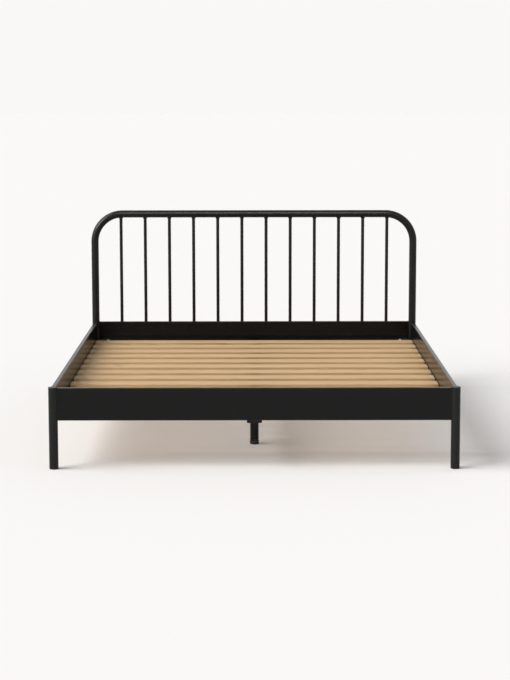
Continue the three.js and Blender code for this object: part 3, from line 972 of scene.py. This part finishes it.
def button_bolt():
    """A button-head bolt that points down, its seat on the origin."""
    socket = hexagon(BOLT_SOCKET)
    lead_in = hexagon(BOLT_SOCKET + 0.2 * MM)
    socket_floor = BOLT_HEAD_HEIGHT - BOLT_SOCKET_DEPTH
    head = eased([
        (BOLT_HEAD_RADIUS, 0, 0.2 * MM), (BOLT_HEAD_RADIUS, BOLT_HEAD_HEIGHT * 0.3, 0.6 * MM),
        (BOLT_HEAD_RADIUS * 0.80, BOLT_HEAD_HEIGHT * 0.78, 4 * MM),
        (BOLT_HEAD_RADIUS * 0.55, BOLT_HEAD_HEIGHT, 1 * MM),
        (BOLT_SOCKET * 0.66, BOLT_HEAD_HEIGHT, 0),
    ], steps=5)
    profile = [
        (0, -BOLT_LENGTH), (BOLT_RADIUS - 1 * MM, -BOLT_LENGTH),
        (BOLT_RADIUS, -BOLT_LENGTH + 1 * MM), (BOLT_RADIUS, 0), *head,
        (lead_in, BOLT_HEAD_HEIGHT - 0.2 * MM), (socket, BOLT_HEAD_HEIGHT - 0.5 * MM),
        (socket, socket_floor), (1.0 * MM, socket_floor - 0.6 * MM),
        (0, socket_floor - 0.7 * MM),
    ]
    return turned("bolt", profile, ORIGIN, ZINC, sides=BOLT_SIDES)


def pan_screw():
    """A pan-head wood screw with a cross recess, its seat on the origin."""
    radius = SCREW_HEAD_RADIUS
    height = SCREW_HEAD_HEIGHT
    dome = eased([
        (radius, -SCREW_BITE, 0), (radius, height * 0.35, 0.8 * MM),
        (radius * 0.82, height * 0.82, 3 * MM), (radius * 0.60, height, 0),
    ], steps=4)
    profile = [
        (0, -SCREW_LENGTH), (SCREW_CORE, SCREW_POINT - SCREW_LENGTH), (SCREW_CORE, -SCREW_BITE),
        *dome, (cross_recess(CROSS_REACH, CROSS_ARM), height),
        (cross_recess(1.5 * MM, 0.4 * MM), height - CROSS_DEPTH),
        (0, height - CROSS_DEPTH - 0.4 * MM),
    ]
    return turned("screw", profile, ORIGIN, ZINC, sides=SCREW_SIDES)


def washer_screw():
    """A hexagon-head tapping screw with a rolled washer, its seat on the origin."""
    head = hexagon(WASHER_SCREW_FLATS)
    height = WASHER_SCREW_HEIGHT
    core = WASHER_SCREW_CORE
    brim = WASHER_RADIUS - 0.2 * MM
    profile = [
        (0, -WASHER_SCREW_LENGTH), (core, WASHER_SCREW_POINT - WASHER_SCREW_LENGTH), (core, 0),
        (brim, 0), (WASHER_RADIUS, 0.4 * MM), (brim, WASHER_THICKNESS),
        (head, WASHER_THICKNESS + 0.4 * MM), (head, height - 0.5 * MM),
        (WASHER_SCREW_FLATS / 2 - 0.2 * MM, height), (1.6 * MM, height),
        (1.2 * MM, height - 0.3 * MM), (0, height - 0.3 * MM),
    ]
    return turned("screw", profile, ORIGIN, ZINC, sides=HEXAGON_SIDES)


def corner_bolts(tree):
    """Two bolts in each corner, from the bed side through the bracket into the panel."""
    nodes = numbered("corner_bolt_")
    places = []
    for node in nodes:
        low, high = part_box(node)
        centre = middle(node)
        end = -1 if centre.y < 0 else 1
        seat = (high if end < 0 else low).y + end * BOLT_HEAD_HEIGHT
        places.append(((centre.x, seat, centre.z), (0, -end, 0)))
    fastened("corner_bolts", button_bolt(), places, tree, *nodes)


def slat_screws(tree):
    """One screw at each end of each slat, down into the ledge."""
    flange = middle("slat_ledge_right").x
    places = []
    for node in SLATS:
        for side in SIDES.values():
            places.append(((side * flange, middle(node).y, top(node)), (0, 0, 1)))
    fastened("slat_screws", pan_screw(), places, tree)


def plate_screws(tree):
    """Four screws up through each leg plate, and one through each cheek of the saddles."""
    places = []
    for end in ENDS:
        low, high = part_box(f"centre_leg_{end}")
        for x in (low.x + LEG_SCREW_INSET_X, high.x - LEG_SCREW_INSET_X):
            for y in (low.y + LEG_SCREW_INSET_Y, high.y - LEG_SCREW_INSET_Y):
                places.append(((x, y, high.z - LEG_PLATE), (0, 0, -1)))
        saddle = f"beam_saddle_{end}"
        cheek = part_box(saddle)[1].x
        centre = middle(saddle)
        for side in SIDES.values():
            spot = (side * cheek, centre.y, centre.z + CHEEK_SCREW_RISE)
            places.append((spot, (side, 0, 0)))
    fastened("plate_screws", washer_screw(), places, tree)


# -------- centre support and slats

def centre_beam():
    low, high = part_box("centre_beam")
    outer = (high.x - low.x, high.z - low.z, BEAM_CORNER)
    level = middle("centre_beam").z
    beam = flat_tube(
        "beam", outer, BEAM_WALL, lambda across: high.y, lambda a, b, c: (b, a, level + c), COAT)
    fit(beam, "centre_beam")


def centre_leg(name, node):
    """A round leg with a nut plug in its foot and a plate under the beam."""
    low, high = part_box(node)
    hole = STUD_RADIUS + TURNING_GAP
    nut_low = low.z + LEG_PLUG_RECESS
    nut_high = nut_low + LEG_PLUG_LENGTH
    plate_low = high.z - LEG_PLATE
    profile = eased([
        (TUBE_RADIUS, low.z, TUBE_EASE), (TUBE_RADIUS, plate_low, 0), (TUBE_BORE, plate_low, 0),
        (TUBE_BORE, nut_high, 0), (hole, nut_high, TUBE_EASE), (hole, nut_low, TUBE_EASE),
        (TUBE_BORE, nut_low, 0), (TUBE_BORE, low.z, TUBE_EASE),
    ], closed=True, steps=3)
    fit(turned(name, profile, middle(node), COAT, closed=True), node)
    level = high.z - LEG_PLATE / 2
    fit(folded_sheet(
        name + "_plate", [(low.x, level), (high.x, level)], low.y, high.y, LEG_PLATE,
        LEG_PLATE_CORNER, lambda u, v, w: (u, w, v)))


def levelling_pad(name, node, body):
    """A moulded foot with grip ribs, and a socket for the stud's head."""
    high = top(node)
    rim = size(node).x / 2
    mouth = STUD_RADIUS + TURNING_GAP
    cavity = STUD_HEAD_RADIUS + TURNING_GAP
    cavity_low = STUD_FLOOR - FIT_GAP
    cavity_top = STUD_FLOOR + STUD_HEAD_HEIGHT + TURNING_GAP
    shoulder = high - PAD_RECESS_DEPTH

    def ribbed(depth):
        return lambda angle: rim - depth * abs(math.sin(PAD_RIBS / 2 * angle)) ** 1.5

    base = eased([
        (0, PAD_DISH_DEPTH, 0), (PAD_DISH - 1 * MM, PAD_DISH_DEPTH, 0.4 * MM),
        (PAD_DISH, 0, 0.4 * MM), (rim - 1 * MM, 0, 3 * MM), (rim, 4 * MM, 1.5 * MM),
        (rim, 5 * MM, 0),
    ])
    grip = [
        (ribbed(0.5 * PAD_RIB_DEPTH), 5.4 * MM), (ribbed(PAD_RIB_DEPTH), 6 * MM),
        (ribbed(PAD_RIB_DEPTH), high - 4 * MM), (ribbed(0.5 * PAD_RIB_DEPTH), high - 3.4 * MM),
    ]
    crown = eased([
        (rim, high - 3 * MM, 0), (rim, high, 2 * MM), (PAD_RECESS, high, 0.8 * MM),
        (PAD_RECESS - 1.5 * MM, shoulder, 0.8 * MM), (mouth, shoulder, 0.4 * MM),
        (mouth, cavity_top, 0), (cavity, cavity_top, 0), (cavity, cavity_low, 0),
        (0, cavity_low, 0),
    ])
    profile = base + grip + crown
    fit(turned(name, profile, middle(node), GLIDE_PLASTIC, sides=6 * PAD_RIBS), node, body=body)


def levelling_stud(name, node, body):
    """A rolled stud: a head that turns in the pad, a spanner collar, and a thread above it."""
    low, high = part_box(node)
    head_high = low.z + STUD_HEAD_HEIGHT
    collar_low = top("levelling_pad_foot") + FIT_GAP
    collar_high = collar_low + COLLAR_HEIGHT
    collar_end = COLLAR_FLATS / 2 + 0.2 * MM
    collar = hexagon(COLLAR_FLATS)
    thread_low = collar_high + 1 * MM
    thread_high = high.z - STUD_BEVEL

    def thread(height):
        run_in = min(height - thread_low, thread_high - height) / THREAD_PITCH
        cut = THREAD_DEPTH * max(0.0, min(1.0, run_in))

        def radius(angle):
            phase = (height / THREAD_PITCH - angle / (2 * math.pi)) % 1.0
            tooth = min(1.0, max(0.0, 1.3 * abs(2 * phase - 1) - 0.15))
            return STUD_RADIUS - cut * tooth
        return radius

    run = thread_high - thread_low
    count = round(run / THREAD_PITCH * THREAD_STEPS)
    levels = [thread_low + run * i / count for i in range(count + 1)]
    profile = [
        (0, low.z), (STUD_HEAD_RADIUS - STUD_BEVEL, low.z),
        (STUD_HEAD_RADIUS, low.z + STUD_BEVEL), (STUD_HEAD_RADIUS, head_high - STUD_BEVEL),
        (STUD_HEAD_RADIUS - STUD_BEVEL, head_high), (STUD_RADIUS, head_high),
        (STUD_RADIUS, collar_low), (collar_end, collar_low), (collar, collar_low + COLLAR_BEVEL),
        (collar, collar_high - COLLAR_BEVEL), (collar_end, collar_high),
        (STUD_RADIUS, collar_high), *[(thread(level), level) for level in levels],
        (STUD_RADIUS - STUD_BEVEL, high.z), (0, high.z),
    ]
    fit(turned(name, profile, middle(node), ZINC, sides=HEXAGON_SIDES), node, body=body)


def slats():
    extent = size(SLATS[0])
    piece = grown("slats", slat_row_tree(), {
        **row_of(SLATS),
        "Length": extent.x,
        "Width": extent.y,
        "Thickness": extent.z,
        "Edge": SLAT_EDGE,
        "Seed": SLAT_SEED,
        "Finish": PINE,
    })
    fit(piece, *SLATS)


# -------- welds

def circle_path(centre, radius, height):
    """A closed path round an upright tube; its height depends on the distance from its plane."""
    path = []
    for angle in angles(WELD_PATH_STEPS):
        across = radius * math.sin(angle)
        path.append((centre.x + radius * math.cos(angle), centre.y + across, height(across)))
    return path, True


def weld_beads(name, paths, radius, tree, seed):
    values = {
        "Bead radius": radius, "Ripple": BEAD_RIPPLE, "Unevenness": BEAD_UNEVENNESS,
        "Seed": seed, "Finish": COAT,
    }
    return grown(name, tree, values, wires(name, paths))


def against_hoop(across):
    """The level of the top tube's underside."""
    return HOOP_LEVEL - math.sqrt(TUBE_RADIUS ** 2 - across ** 2)


def hoop_welds(tree):
    """Fillets under the top tube: beads round the uprights, drawn down and slimmed."""
    centres = [middle(node) for node in UPRIGHTS]
    paths = [circle_path(centre, UPRIGHT_RADIUS, against_hoop) for centre in centres]
    piece = weld_beads("upright_welds", paths, HOOP_BEAD_RADIUS, tree, seed=3)
    for vertex in piece.data.vertices:
        place = vertex.co
        centre = min(centres, key=lambda spot: abs(spot.x - place.x))
        below = against_hoop(place.y - centre.y) - place.z
        if below > 0:
            away = Vector((place.x - centre.x, place.y - centre.y))
            slim = 1 - HOOP_BEAD_SLIM * min(below / HOOP_BEAD_RADIUS, 1)
            away.length = UPRIGHT_RADIUS + (away.length - UPRIGHT_RADIUS) * slim
            drawn = place.z - HOOP_BEAD_DRAW * below
            vertex.co = (centre.x + away.x, centre.y + away.y, drawn)
    fit(piece)


def panel_paths():
    """Round both ends of both cross panels, against the round tubes."""
    section = flat_section(FLAT_THICKNESS, FLAT_HEIGHT, FLAT_CORNER)
    reach = cut_round_post(POST_X, 0)
    paths = []
    for node in ("foot_panel", "head_panel"):
        y = middle(node).y
        for side in SIDES.values():
            path = [(side * reach(a), y + a, FLAT_MIDDLE + b) for a, b in section]
            paths.append((path, True))
    return paths


def fine_paths():
    """Upright feet, leg tops, bracket ends, the saddles' cheeks, and stitches under the ledges."""
    paths = [circle_path(middle(node), UPRIGHT_RADIUS, lambda across: FLAT_TOP)
             for node in UPRIGHTS]
    for end, sign in ENDS.items():
        leg = f"centre_leg_{end}"
        under = top(leg) - LEG_PLATE
        paths.append(circle_path(middle(leg), TUBE_RADIUS, lambda across, level=under: level))
        low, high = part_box(f"beam_saddle_{end}")
        for x in (low.x, high.x):
            heights = (FLAT_LOW + FLAT_CORNER, high.z)
            paths.append(([(x, sign * PANEL_FACE, z) for z in heights], False))
        for side, hand in SIDES.items():
            low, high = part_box(f"corner_bracket_{end}_{side}")
            start = BRACKET_TOE - BRACKET_WELD_RETURN
            outline = eased([
                (start, low.z, 0), (BRACKET_TOE, low.z, BRACKET_CORNER),
                (BRACKET_TOE, high.z, BRACKET_CORNER), (start, high.z, 0),
            ])
            path = [(hand * RAIL_FACE, sign * (POST_Y - v), z) for v, z in outline]
            paths.append((path, False))
    for side, hand in SIDES.items():
        low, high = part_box(f"slat_ledge_{side}")
        count = round((high.y - low.y) / STITCH_PITCH)
        for i in range(count):
            start = low.y + (high.y - low.y) * (i + 0.5) / count - STITCH_LENGTH / 2
            path = [(hand * RAIL_FACE, start + run, low.z) for run in (0.0, STITCH_LENGTH)]
            paths.append((path, False))
    return paths


# -------- assembly

def build_bed():
    hoop()
    uprights()
    for end in ENDS:
        cross_panel(f"panel_{end}", f"{end}_panel")
    for side, hand in SIDES.items():
        foot_post(f"post_{side}", f"foot_post_{side}")
        post_cap(f"cap_{side}", f"post_cap_{side}")
        side_rail(f"rail_{side}", f"side_rail_{side}")
        slat_ledge(f"ledge_{side}", f"slat_ledge_{side}", hand)
    for end, sign in ENDS.items():
        for side, hand in SIDES.items():
            floor_glide(f"floor_glide_{end}_{side}", f"glide_{end}_{side}")
            corner_bracket(f"bracket_{end}_{side}", f"corner_bracket_{end}_{side}", hand, sign)
        beam_saddle(f"saddle_{end}", f"beam_saddle_{end}", sign)
        centre_leg(f"leg_{end}", f"centre_leg_{end}")
        levelling_pad(f"screw_foot_{end}", f"levelling_pad_{end}", f"pad_{end}")
        levelling_stud(f"screw_stud_{end}", f"levelling_stud_{end}", f"stud_{end}")
    centre_beam()
    slats()
    fasteners = fastener_tree()
    corner_bolts(fasteners)
    slat_screws(fasteners)
    plate_screws(fasteners)
    beads = weld_tree()
    hoop_welds(beads)
    fit(weld_beads("panel_welds", panel_paths(), BEAD_RADIUS, beads, seed=5))
    fit(weld_beads("bracket_welds", fine_paths(), FINE_BEAD_RADIUS, beads, seed=7))


# -------- studio

PALE = (0.956, 0.939, 0.922, 1.0)
SKY_LIGHT = 0.41
FLOOR_HALF = 80.0

# The key light shines this way; its width is in degrees
KEY_DIRECTION = Vector((0.735, 0.202, -0.648))
KEY_STRENGTH = 2.90
KEY_ANGLE = 46

# Discs of light in the gloss: direction, width in degrees, strength over the backdrop's
SOFTBOXES = [
    (Vector((-0.635, -0.675, 0.367)), 24, 24.0),
    (Vector((0.0, -0.84, 0.55)), 20, 17.0),
    (Vector((-0.92, -0.36, 0.05)), 56, 2.2),
]

# The camera's turns are in degrees, and its lens and sensor in millimetres
CAMERA_PLACE = Vector((-0.0054, -8.187, 1.7526))
CAMERA_PITCH = 6.758
CAMERA_YAW = 0.069
CAMERA_ROLL = -0.065
CAMERA_LENS = 85.02
CAMERA_SENSOR = 36.0
CAMERA_SHIFT = -0.1


def floor():
    """A plain pale floor that runs to the horizon."""
    mesh = bpy.data.meshes.new("floor")
    corners = [(-1, -1), (1, -1), (1, 1), (-1, 1)]
    mesh.from_pydata([(FLOOR_HALF * x, FLOOR_HALF * y, 0) for x, y in corners], [], [(0, 1, 2, 3)])
    material, _, shader, _ = new_finish("studio_floor")
    shader.inputs["Base Color"].default_value = PALE
    shader.inputs["Roughness"].default_value = 1.0
    shader.inputs["Specular IOR Level"].default_value = 0.0
    mesh.materials.append(material)
    new_object("floor", mesh)


def studio_world():
    """
    An even sky light, which the camera, gloss and glass see as the pale backdrop. Gloss also sees
    soft bright discs in it, for the sheen along the round tubes.
    """
    world = bpy.data.worlds.new("studio")
    bpy.context.scene.world = world
    world.use_nodes = True
    tree = world.node_tree
    tree.nodes.clear()
    ray = add(tree, "ShaderNodeLightPath").outputs
    seen = calc(tree, "MAXIMUM", ray["Is Camera Ray"], ray["Is Glossy Ray"])
    seen = calc(tree, "MAXIMUM", seen, ray["Is Transmission Ray"])
    towards = tree.nodes.new("ShaderNodeTexCoord").outputs["Generated"]
    glow = 1.0
    for place, width, strength in SOFTBOXES:
        facing = add(tree, "ShaderNodeVectorMath", {0: towards, 1: place.normalized()},
                     operation="DOT_PRODUCT").outputs["Value"]
        rim = math.cos(math.radians(width / 2))
        disc = spread(tree, facing, 0, strength, rim, (1 + rim) / 2)
        glow = calc(tree, "MULTIPLY_ADD", disc, ray["Is Glossy Ray"], glow)
    light = add(tree, "ShaderNodeBackground", {"Color": (1, 1, 1, 1), "Strength": SKY_LIGHT})
    backdrop = add(tree, "ShaderNodeBackground", {"Color": PALE, "Strength": glow})
    mix = add(tree, "ShaderNodeMixShader", {0: seen, 1: light.outputs[0], 2: backdrop.outputs[0]})
    add(tree, "ShaderNodeOutputWorld", {"Surface": mix.outputs[0]})


def key_light():
    """A broad key light from the left, high enough to throw the shadow to the right."""
    light = bpy.data.lights.new("key", "SUN")
    light.energy = KEY_STRENGTH
    light.angle = math.radians(KEY_ANGLE)
    lamp = new_object("key", light)
    lamp.rotation_euler = KEY_DIRECTION.to_track_quat("-Z", "Y").to_euler()


def camera():
    """The view along the bed from beyond its foot end, above the headboard's height."""
    lens = bpy.data.cameras.new("camera")
    lens.lens = CAMERA_LENS
    lens.sensor_width = CAMERA_SENSOR
    lens.shift_y = CAMERA_SHIFT
    eye = new_object("camera", lens)
    eye.matrix_world = (
        Matrix.Translation(CAMERA_PLACE)
        @ Matrix.Rotation(math.radians(-CAMERA_YAW), 4, "Z")
        @ Matrix.Rotation(math.radians(90 - CAMERA_PITCH), 4, "X")
        @ Matrix.Rotation(math.radians(CAMERA_ROLL), 4, "Z")
    )
    bpy.context.scene.camera = eye


camera()
build_bed()
floor()
studio_world()
key_light()
bpy.context.scene.view_settings.view_transform = "Standard"
